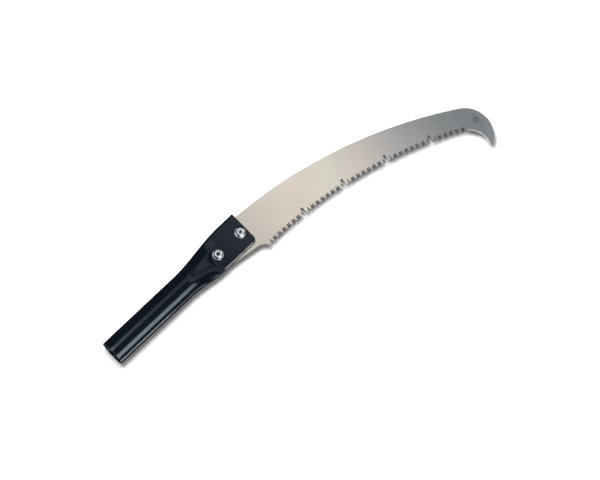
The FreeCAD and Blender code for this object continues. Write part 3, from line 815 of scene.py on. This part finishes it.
@dataclass
class TubeSocket:
    """A round tube whose far end is pressed flat into a jaw of two walls. Sizes are in millimetres."""

    radius: float = 19.0
    wall: float = 1.6
    spread_start: float = 136.0
    spread_end_back: float = 232.0
    spread_end_front: float = 198.0
    ramp_start: float = 150.0
    crease: float = 194.0
    crease_turn_y: float = -5.0
    crease_turn_run: float = 15.0
    crease_turn_rise: float = 12.0
    crease_power: float = 2.4
    crease_softness: float = 0.10
    ramp_power: float = 0.78
    shoulder_softness: float = 2.6
    side_end: float = 215.0
    back_fold: float = 5.5
    jaw_end: float = 260.2
    back: float = 28.0
    front: float = -25.2
    corner: float = 9.0
    half_gap: float = 0.78
    slit_start: float = 188.0
    slit_depth: float = 4.0
    slit_clearance: float = 0.05
    hole: float = 4.1
    around: int = 144
    crowding: float = 0.045
    rings: Tuple[int, int, int] = (24, 77, 12)
    ring_gap: float = 1.25
    edge_rounding: float = 0.35

    def flat_point(self, share: float, inset: float) -> Tuple[float, float]:
        """Where a share of the tube's perimeter lies in the flat jaw.

        Args:
            share: From 0 to 0.5, from the back fold over the upper wall to the front edge.
            inset: 0 for the outside, or the wall's thickness for the inside.

        Returns:
            The point's place across the jaw and its height.
        """
        half = self.half_gap + self.wall - inset
        reach = self.back_fold if inset == 0.0 else half
        back, front = self.back - inset, self.front + inset
        back_bend = math.pi / 2 * math.sqrt((reach * reach + half * half) / 2)
        front_bend = math.pi / 2 * half
        flat = back - front - reach - half
        run = share * 2 * (back_bend + flat + front_bend)
        if run < back_bend:
            turn = run / back_bend * math.pi / 2
            return back - reach + reach * math.cos(turn), half * math.sin(turn)
        if run < back_bend + flat:
            return back - reach - (run - back_bend), half
        turn = (run - back_bend - flat) / half
        return front + half - half * math.sin(turn), half * math.cos(turn)

    def ramp_height(self, flat_y: float, x: float, inset: float) -> float:
        """The height that the press leaves: a flat ramp down to the crease, and the jaw beyond it.

        Args:
            flat_y: The place across the flat jaw, in millimetres.
            x: The place along the tube.
            inset: 0 for the outside, or the wall's thickness for the inside.

        Returns:
            The height.
        """
        lag = max(0.0, (flat_y - self.crease_turn_y) / self.crease_turn_run)
        crease = self.crease + self.crease_turn_rise * lag ** self.crease_power
        left = max(0.0, (crease - x) / (crease - self.ramp_start))
        soft = self.crease_softness
        fall = left * left / (2 * soft) if left < soft else left - soft / 2
        half = self.half_gap + self.wall - inset
        return half + (self.radius - inset - half) * (fall / (1 - soft / 2)) ** self.ramp_power

    def skin_point(self, share: float, x: float, inset: float) -> Point:
        """A point of the pressed tube's outside or inside.

        Args:
            share: From 0 to 1 round the tube, from the back over the upper side.
            x: The place along the tube.
            inset: 0 for the outside, or the wall's thickness for the inside.

        Returns:
            The point.
        """
        turn = math.tau * share
        round_y = (self.radius - inset) * math.cos(turn)
        round_z = (self.radius - inset) * math.sin(turn)
        side = 1.0 if share <= 0.5 else -1.0
        flat_y, flat_z = self.flat_point(share if share <= 0.5 else 1.0 - share, inset)
        spread_end = self.spread_end_front
        spread_end += (self.spread_end_back - self.spread_end_front) * (1 + math.cos(turn)) / 2
        y = round_y + (flat_y - round_y) * smooth_step(self.spread_start, spread_end, x)
        sinking = smooth_step(self.ramp_start, self.side_end, x)
        dome = abs(round_z) * (1 - sinking) + flat_z * sinking
        ramp = self.ramp_height(flat_y, x, inset)
        softness = self.shoulder_softness * min(1.0, (ramp - self.half_gap - self.wall + inset) / 2.0)
        return x, y, side * soft_minimum(dome, ramp, softness)

    def end_of_jaw(self, y: float) -> float:
        """Where the jaw ends, with its rounded front corner.

        Args:
            y: The place across the jaw.

        Returns:
            The end's place along the tube.
        """
        depth = self.corner - (y - self.front)
        if depth <= 0.0:
            return self.jaw_end
        return self.jaw_end - self.corner + math.sqrt(max(0.0, self.corner ** 2 - depth ** 2))

    def stations(self) -> List[float]:
        """Place the rings of the mesh, closer together where the tube is pressed.

        Returns:
            The rings' places along the tube.
        """
        straight, pressed, flat = self.rings
        rows = [self.spread_start * step / straight for step in range(straight + 1)]
        rows += [self.spread_start + self.ring_gap * step for step in range(1, pressed + 1)]
        last = rows[-1]
        rows += [last + (self.jaw_end - last) * step / flat for step in range(1, flat + 1)]
        return rows

    def shares(self) -> List[float]:
        """Place the columns of the mesh, closer together at the two folds.

        Returns:
            The columns' shares of the perimeter.
        """
        plain = [step / self.around for step in range(self.around)]
        return [share - self.crowding * math.sin(4 * math.pi * share) / math.pi for share in plain]

    def build(self, bolts: Sequence[Tuple[float, float]]) -> bpy.types.Object:
        """Build the socket.

        Args:
            bolts: Places of the bolts' axes.

        Returns:
            The socket's object.
        """
        rows, shares = self.stations(), self.shares()
        warp_start = self.jaw_end - 2 * self.corner
        points: List[Point] = []
        for inset in (0.0, self.wall):
            for x in rows:
                for share in shares:
                    _, y, z = self.skin_point(share, x, inset)
                    end = self.end_of_jaw(y)
                    here = x
                    if x > warp_start:
                        stretch = (end - warp_start) / (self.jaw_end - warp_start)
                        here = warp_start + (x - warp_start) * stretch
                    points.append((here, y, z))
        columns, count = len(shares), len(rows)

        def index(layer: int, row: int, column: int) -> int:
            """The number of a vertex of the grid."""
            return (layer * count + row) * columns + column % columns

        faces = []
        for column in range(columns):
            for row in range(count - 1):
                for layer in (0, 1):
                    faces.append((index(layer, row, column), index(layer, row, column + 1),
                                  index(layer, row + 1, column + 1), index(layer, row + 1, column)))
            for row in (0, count - 1):
                faces.append((index(0, row, column), index(0, row, column + 1),
                              index(1, row, column + 1), index(1, row, column)))
        socket = add_object("socket_shell", mesh_from("socket_shell", points, faces))
        self.cut_slit(socket)
        round_edges(socket, self.edge_rounding, 3, 50.0)
        for x, y in bolts:
            drill(socket, x, y, self.hole, 3 * self.wall)
        shade(socket, 35.0)
        return socket

    def cut_slit(self, socket: bpy.types.Object) -> None:
        """Open the jaw's front fold, so that the blade passes out between the walls.

        Args:
            socket: The socket's object.
        """
        half = self.half_gap + self.slit_clearance
        across = (self.front - self.slit_depth, self.front + self.slit_depth)
        corners = [(x, y, z) for x in (self.slit_start, self.jaw_end + self.slit_depth) for y in across
                   for z in (-half, half)]
        faces = [(0, 1, 3, 2), (4, 6, 7, 5), (0, 4, 5, 1), (2, 3, 7, 6), (0, 2, 6, 4), (1, 5, 7, 3)]
        cutter = add_object("slitting_saw", mesh_from("slitting_saw", corners, faces))
        subtract(socket, cutter)

    def enamel(self) -> BlackEnamel:
        """The paint, which is rubbed where this jaw's edges are and carries a painted highlight line along
        the front edge.
        """
        return BlackEnamel(self.jaw_end, self.front, self.corner, self.slit_start)

    def dress(self, socket: bpy.types.Object, enamel: bpy.types.Material) -> None:
        """Paint the socket."""
        dress_piece(socket, enamel, ["socket"])


@dataclass
class SawBlade:
    """The hooked saw blade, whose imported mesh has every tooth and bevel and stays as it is."""

    steel: GroundSteel = GroundSteel()

    def dress(self) -> None:
        """Finish the blade's ground steel."""
        dress_node("blade", self.steel.material())


@dataclass
class BoltSet:
    """One bolt with its two washers, lock nut and nylon ring. Sizes are in millimetres."""

    place: BoltPlace
    turn: float = 0.0
    across_flats: float = 13.0
    washer_bore: float = 4.2
    thread_pitch: float = 1.25
    thread_radius: float = 3.95
    thread_depth: float = 0.62
    thread_rows: int = 112
    thread_steps: int = 48
    crest: float = 1.35
    root: float = 0.12
    tip_chamfer: float = 0.75
    tip_length: float = 0.9
    dimple: Tuple[Tuple[float, float], ...] = ((2.3, 0.0), (2.15, 0.4), (1.9, 3.0), (0.9, 3.7))
    stamped: float = 0.38
    crisp: float = 0.12
    collar: float = 6.2
    collar_lip: float = 4.6
    hexagon_height: float = 5.9
    steps: int = 96

    def node(self, kind: Fastener) -> str:
        """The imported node's name for one of this set's pieces."""
        return f"{self.place.value}_{kind.value}"

    def axis(self) -> Tuple[float, float]:
        """Where the bolt's axis is."""
        low, high = box_mm(self.node(Fastener.NUT_WASHER))
        return (low.x + high.x) / 2, (low.y + high.y) / 2

    def hexagon(self, turn: float) -> float:
        """How far the hexagon's side is from the axis, with slightly rounded corners.

        Args:
            turn: The angle about the axis, in radians.

        Returns:
            The distance.
        """
        sector = math.pi / 3
        off = (turn - self.turn) % sector - sector / 2
        side = self.across_flats / 2 / math.cos(off)
        return min(side, self.across_flats / math.sqrt(3) - self.crisp)

    def washer(self, kind: Fastener) -> bpy.types.Object:
        """Build a flat stamped washer with one rounded rim.

        Args:
            kind: Which of the two washers.

        Returns:
            The washer's object.
        """
        low, high = box_mm(self.node(kind))
        x, y = self.axis()
        outer = (high.x - low.x) / 2
        top, base = self.stamped, self.crisp
        if kind is Fastener.HEAD_WASHER:
            top, base = base, top
        section = [(self.washer_bore, low.z), (outer, low.z), (outer, high.z), (self.washer_bore, high.z)]
        profile: List[Tuple[float, float]] = []
        for index, reach in enumerate((self.crisp, base, top, self.crisp)):
            profile += rounded_corner(section[index - 1], section[index], section[(index + 1) % 4], reach)
        name = self.node(kind) + "_piece"
        piece = add_object(name, turned_mesh(name, profile, x, y, self.steps))
        shade(piece, 50.0)
        return piece

    def bolt(self) -> bpy.types.Object:
        """Build the hexagon bolt with its rolled thread and the small dimple in its tip.

        Returns:
            The bolt's object.
        """
        low, high = box_mm(self.node(Fastener.BOLT))
        seat = box_mm(self.node(Fastener.HEAD_WASHER))[0].z
        x, y = self.axis()
        corner = self.across_flats / math.sqrt(3)
        head = rounded_profile([(0.0, low.z), (self.across_flats / 2 - 0.5, low.z), (corner, low.z + 0.9),
                                (corner, seat - 0.2), (self.thread_radius, seat), (0.0, seat)], 0.25)
        head_mesh = turned_mesh("head", head, x, y, self.steps, lambda turn, height: self.hexagon(turn))
        shank_mesh = self.thread_mesh(x, y, seat - 0.5, high.z)
        piece = self.joined(self.node(Fastener.BOLT) + "_piece", (head_mesh, shank_mesh))
        shade(piece, 28.0)
        return piece

    def thread_mesh(self, x: float, y: float, start: float, end: float) -> bpy.types.Mesh:
        """Make the threaded shank.

        Args:
            x: The axis's place along the tube.
            y: The axis's place across the tube.
            start: The height where the shank starts, inside the head.
            end: The height of its tip.

        Returns:
            The shank's mesh.
        """
        rows, steps = self.thread_rows, self.thread_steps
        turns = [math.tau * step / steps for step in range(steps)]
        points: List[Point] = []
        for row in range(rows + 1):
            height = start + (end - 0.02 - start) * row / rows
            taper = min(1.0, (end - height) / self.tip_length)
            for turn in turns:
                phase = (height / self.thread_pitch - turn / math.tau) % 1.0
                ridge = min(1.0, max(0.0, self.crest * (1 - abs(2 * phase - 1)) - self.root))
                reach = self.thread_radius - self.thread_depth * (1 - ridge)
                reach = min(reach, self.thread_radius - self.tip_chamfer * (1 - taper))
                points.append((x + reach * math.cos(turn), y + reach * math.sin(turn), height))
        for radius, depth in self.dimple:
            points += [(x + radius * math.cos(turn), y + radius * math.sin(turn), end - depth)
                       for turn in turns]
        rings = rows + 1 + len(self.dimple)
        faces = [(ring * steps + step, ring * steps + (step + 1) % steps,
                  (ring + 1) * steps + (step + 1) % steps, (ring + 1) * steps + step)
                 for ring in range(rings - 1) for step in range(steps)]
        faces.append(tuple(range(steps)))
        faces.append(tuple(range((rings - 1) * steps, rings * steps)))
        return mesh_from("shank", points, faces)

    def lock_nut(self) -> bpy.types.Object:
        """Build the lock nut: a chamfered hexagon under a collar that is rolled over the nylon ring.

        Returns:
            The nut's object.
        """
        low, high = box_mm(self.node(Fastener.LOCK_NUT))
        ring_low, ring_high = box_mm(self.node(Fastener.NYLON_RING))
        x, y = self.axis()
        corner = self.across_flats / math.sqrt(3)
        shoulder = low.z + self.hexagon_height
        bore = self.thread_radius + 0.05
        ring = (ring_high.x - ring_low.x) / 2
        section = [(bore + 0.4, low.z), (self.across_flats / 2 - 0.1, low.z), (corner, low.z + 0.75)]
        section += [(corner, shoulder - 0.85), (self.across_flats / 2 - 0.1, shoulder - 0.05)]
        section += [(self.collar + 0.1, shoulder + 0.1), (self.collar, shoulder + 0.4)]
        section += [(self.collar, high.z - 0.9), (self.collar - 0.9, high.z), (self.collar_lip, high.z)]
        section += [(self.collar_lip, ring_high.z), (ring, ring_high.z),
                    (ring, ring_low.z), (bore, ring_low.z)]
        section += [(bore, low.z + 0.4)]
        profile: List[Tuple[float, float]] = []
        for index, at in enumerate(section):
            reach = 0.7 if at[1] in (high.z, high.z - 0.9) and at[0] > self.collar_lip else 0.18
            profile += rounded_corner(section[index - 1], at, section[(index + 1) % len(section)], reach)

        def limit(turn: float, height: float) -> float:
            """The hexagon's side below the collar, and no limit above it."""
            return self.hexagon(turn) if height < shoulder + 0.2 else self.across_flats

        name = self.node(Fastener.LOCK_NUT) + "_piece"
        piece = add_object(name, turned_mesh(name, profile, x, y, self.steps, limit))
        shade(piece, 32.0)
        return piece

    def nylon_ring(self) -> bpy.types.Object:
        """Build the nylon ring that the thread presses into.

        Returns:
            The ring's object.
        """
        low, high = box_mm(self.node(Fastener.NYLON_RING))
        x, y = self.axis()
        outer = (high.x - low.x) / 2
        inner = self.thread_radius
        profile = rounded_profile([(inner, low.z), (outer, low.z), (outer, high.z), (inner, high.z)], 0.25)
        name = self.node(Fastener.NYLON_RING) + "_piece"
        piece = add_object(name, turned_mesh(name, profile, x, y, self.steps))
        shade(piece, 50.0)
        return piece

    @staticmethod
    def joined(name: str, meshes: Sequence[bpy.types.Mesh]) -> bpy.types.Object:
        """Join meshes into one piece.

        Args:
            name: The piece's name.
            meshes: The meshes.

        Returns:
            The piece.
        """
        sheet = bmesh.new()
        for mesh in meshes:
            sheet.from_mesh(mesh)
        result = bpy.data.meshes.new(name)
        sheet.to_mesh(result)
        sheet.free()
        return add_object(name, result)

    def build(self) -> Dict[Fastener, bpy.types.Object]:
        """Build the set's five pieces.

        Returns:
            The pieces' objects.
        """
        return {
            Fastener.BOLT: self.bolt(),
            Fastener.HEAD_WASHER: self.washer(Fastener.HEAD_WASHER),
            Fastener.NUT_WASHER: self.washer(Fastener.NUT_WASHER),
            Fastener.LOCK_NUT: self.lock_nut(),
            Fastener.NYLON_RING: self.nylon_ring(),
        }

    def dress(self, pieces: Dict[Fastener, bpy.types.Object], zinc: bpy.types.Material,
              nylon: bpy.types.Material) -> None:
        """Plate the metal pieces and colour the nylon ring.

        Args:
            pieces: The set's pieces.
            zinc: The metal pieces' finish.
            nylon: The ring's finish.
        """
        for kind, piece in pieces.items():
            plastic = kind is Fastener.NYLON_RING
            dress_piece(piece, nylon if plastic else zinc, [self.node(kind)])


# ---------------------------------------------------------------- studio

def aimed(location: Vector, target: Vector, roll: float = 0.0) -> Matrix:
    """The placing of a camera or light that looks from one point at another.

    Args:
        location: Where it stands.
        target: What it looks at.
        roll: Its turn about its own line of sight, in radians, from +Y upright.

    Returns:
        The placing, as a matrix.
    """
    back = (location - target).normalized()
    upright = Vector((0.0, 1.0, 0.0))
    up = (upright - back * upright.dot(back)).normalized()
    right = up.cross(back)
    turned_right = right * math.cos(roll) + up * math.sin(roll)
    turned_up = up * math.cos(roll) - right * math.sin(roll)
    turn = Matrix((turned_right, turned_up, back)).transposed()
    return Matrix.Translation(location) @ turn.to_4x4()


@dataclass(frozen=True)
class Panel:
    """A soft light panel. Sizes are in metres."""

    name: str
    location: Point
    target: Point
    width: float
    height: float
    brightness: float
    colour: Colour = (1.0, 1.0, 1.0)
    in_reflections: bool = True
    on_matt: bool = True

    def hang(self) -> bpy.types.Object:
        """Put the panel into the scene.

        Returns:
            The light's object.
        """
        data = bpy.data.lights.new(self.name, "AREA")
        data.shape = "RECTANGLE"
        data.size, data.size_y = self.width, self.height
        data.energy = self.brightness * math.pi * self.width * self.height
        data.color = self.colour
        lamp = bpy.data.objects.new(self.name, data)
        lamp.matrix_world = aimed(Vector(self.location), Vector(self.target))
        lamp.visible_glossy = self.in_reflections
        lamp.visible_diffuse = self.on_matt
        lamp.visible_camera = False
        bpy.context.scene.collection.objects.link(lamp)
        return lamp


@dataclass(frozen=True)
class Sky:
    """Light from all round, which changes smoothly from a low height to a high one."""

    colour: Colour
    low: float
    high: float
    strength_low: float
    strength_high: float

    def shine(self, tree: bpy.types.NodeTree, height: bpy.types.NodeSocket) -> bpy.types.NodeSocket:
        """Add this light to the surroundings.

        Args:
            tree: The surroundings' nodes.
            height: How far up a ray points, from -1 to 1.

        Returns:
            The light.
        """
        ramp = tree.nodes.new("ShaderNodeMapRange")
        ramp.interpolation_type = "SMOOTHSTEP"
        for name, value in (("From Min", self.low), ("From Max", self.high),
                            ("To Min", self.strength_low), ("To Max", self.strength_high)):
            ramp.inputs[name].default_value = value
        tree.links.new(height, ramp.inputs["Value"])
        background = tree.nodes.new("ShaderNodeBackground")
        background.inputs["Color"].default_value = (*self.colour, 1.0)
        tree.links.new(ramp.outputs["Result"], background.inputs["Strength"])
        return background.outputs["Background"]


@dataclass
class Studio:
    """The floor, the lights, the surroundings and the camera. Sizes are in metres."""

    eye: Point = (-0.37178, -0.31181, 3.11798)
    target: Point = (0.30465, -0.06561, 0.0)
    roll_degrees: float = -44.51
    lens: float = 135.2
    sensor: float = 36.0
    floor_size: float = 9.0
    room: Sky = Sky((0.74, 0.86, 1.12), -0.1, 0.95, 0.06, 0.10)
    white: Sky = Sky((1.0, 1.0, 1.0), 0.25, 0.95, 0.12, 0.62)

    def lay_floor(self) -> bpy.types.Object:
        """Lay the floor under the tube.

        Returns:
            The floor's object.
        """
        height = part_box("socket")[0][2] / MM
        half = self.floor_size / 2 / MM
        points = [(sx * half, sy * half, height) for sx, sy in ((-1, -1), (1, -1), (1, 1), (-1, 1))]
        floor = add_object("studio_floor", mesh_from("studio_floor", points, [(0, 1, 2, 3)]))
        floor.data.materials.append(FloorPaint().material())
        floor.visible_glossy = False
        return floor

    def light(self) -> List[bpy.types.Object]:
        """Hang the key light, and the cards that only reflections see.

        Returns:
            The lights' objects.
        """
        cool, bluish = (0.92, 0.96, 1.0), (0.90, 0.95, 1.0)
        clear, warm = (0.94, 0.97, 1.0), (1.0, 0.975, 0.925)
        cards = (
            ("ceiling", (0.570, 0.05, 0.9), (0.570, 0.05, 0.0), 0.345, 0.8, 1.05, warm),
            ("long_window", (-0.06, -1.19, 0.72), (-0.06, 0.0, 0.0), 0.92, 0.76, 8.5, bluish),
            ("mouth_window", (-0.06, 0.39, 0.95), (0.0, 0.0, 0.0), 0.40, 0.40, 4.3, clear),
            ("far_window", (0.27, 0.39, 0.95), (0.10, 0.0, 0.0), 0.26, 0.40, 0.9, clear),
            ("ramp_card", (2.45, -0.30, 1.03), (0.18, 0.0, 0.0), 3.0, 0.88, 0.90, (0.88, 0.94, 1.0)),
            ("low_card", (-0.04, -0.36, -0.165), (-0.02, 0.0, 0.0), 0.40, 0.10, 6.2, cool),
            ("far_low_card", (0.24, -0.36, -0.165), (0.12, 0.0, 0.0), 0.20, 0.10, 1.7, cool),
        )
        panels = [Panel("key", (0.25, 0.57, 1.88), (0.3, -0.05, 0.0), 0.8, 0.8, 32.0, in_reflections=False)]
        panels += [Panel(*card, on_matt=False) for card in cards]
        return [panel.hang() for panel in panels]

    def surround(self) -> None:
        """Surround the scene: white to the eye and on matt surfaces, a dim room in reflections."""
        world = bpy.data.worlds.new("surroundings")
        bpy.context.scene.world = world
        world.use_nodes = True
        tree = world.node_tree
        tree.nodes.clear()
        way = tree.nodes.new("ShaderNodeTexCoord").outputs["Generated"]
        split = tree.nodes.new("ShaderNodeSeparateXYZ")
        tree.links.new(way, split.inputs["Vector"])
        is_glossy = tree.nodes.new("ShaderNodeLightPath").outputs["Is Glossy Ray"]
        mix = tree.nodes.new("ShaderNodeMixShader")
        output = tree.nodes.new("ShaderNodeOutputWorld")
        tree.links.new(is_glossy, mix.inputs["Fac"])
        for socket, sky in ((1, self.white), (2, self.room)):
            tree.links.new(sky.shine(tree, split.outputs["Z"]), mix.inputs[socket])
        tree.links.new(mix.outputs["Shader"], output.inputs["Surface"])

    def place_camera(self) -> bpy.types.Object:
        """Place the camera above the saw head.

        Returns:
            The camera.
        """
        data = bpy.data.cameras.new("camera")
        data.sensor_fit = "HORIZONTAL"
        data.sensor_width = self.sensor
        data.lens = self.lens
        data.clip_end = 50.0
        camera = bpy.data.objects.new("camera", data)
        camera.matrix_world = aimed(Vector(self.eye), Vector(self.target), math.radians(self.roll_degrees))
        bpy.context.scene.collection.objects.link(camera)
        bpy.context.scene.camera = camera
        bpy.context.scene.view_settings.view_transform = "Standard"
        return camera


def main() -> None:
    """Build and dress every piece, then the studio."""
    logging.basicConfig(level=logging.INFO, format="%(message)s")
    studio = Studio()
    studio.place_camera()
    log.info("camera placed")

    bolt_sets = [BoltSet(BoltPlace.FRONT, turn=math.radians(12)),
                 BoltSet(BoltPlace.REAR, turn=math.radians(41))]
    axes = [bolt_set.axis() for bolt_set in bolt_sets]
    zinc, nylon = ZincPlate().material(axes), Nylon().material()

    tube_socket = TubeSocket()
    socket = tube_socket.build(axes)
    tube_socket.dress(socket, tube_socket.enamel().material())
    log.info("tube socket: %d faces", len(socket.data.polygons))

    SawBlade().dress()
    log.info("saw blade dressed")

    for bolt_set in bolt_sets:
        pieces = bolt_set.build()
        bolt_set.dress(pieces, zinc, nylon)
        log.info("%s bolt set: %d pieces", bolt_set.place.value, len(pieces))

    studio.lay_floor()
    studio.light()
    studio.surround()
    log.info("studio ready")


if __name__ == "__main__":
    main()
